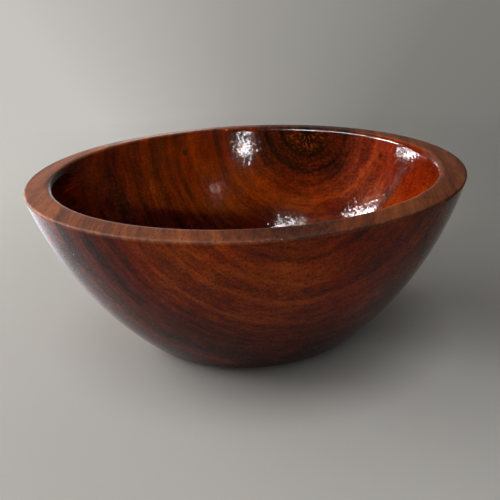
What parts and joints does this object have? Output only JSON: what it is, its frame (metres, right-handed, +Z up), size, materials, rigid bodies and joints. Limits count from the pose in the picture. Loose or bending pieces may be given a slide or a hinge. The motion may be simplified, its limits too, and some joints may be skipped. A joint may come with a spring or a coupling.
{
  "type": "wooden bowl",
  "caption": "Round bowl turned from solid dark wood, with a flared wall, a broad, gently sloping rim and a hollowed foot, for serving or holding food.",
  "frame": {"origin": "on the turning axis, at the surface that the bowl stands on", "axes": "+Z up along the turning axis; the picture looks along +Y, with +X to its right"},
  "size_m": [0.2394, 0.2394, 0.0954],
  "materials": {
    "lacquered_wood": "clear gloss lacquer over dense red-brown heartwood, rubbed back to satin on the rim"
  },
  "bodies": {
    "root": {"turned_bowl": "lacquered_wood"}
  },
  "joints": []
}
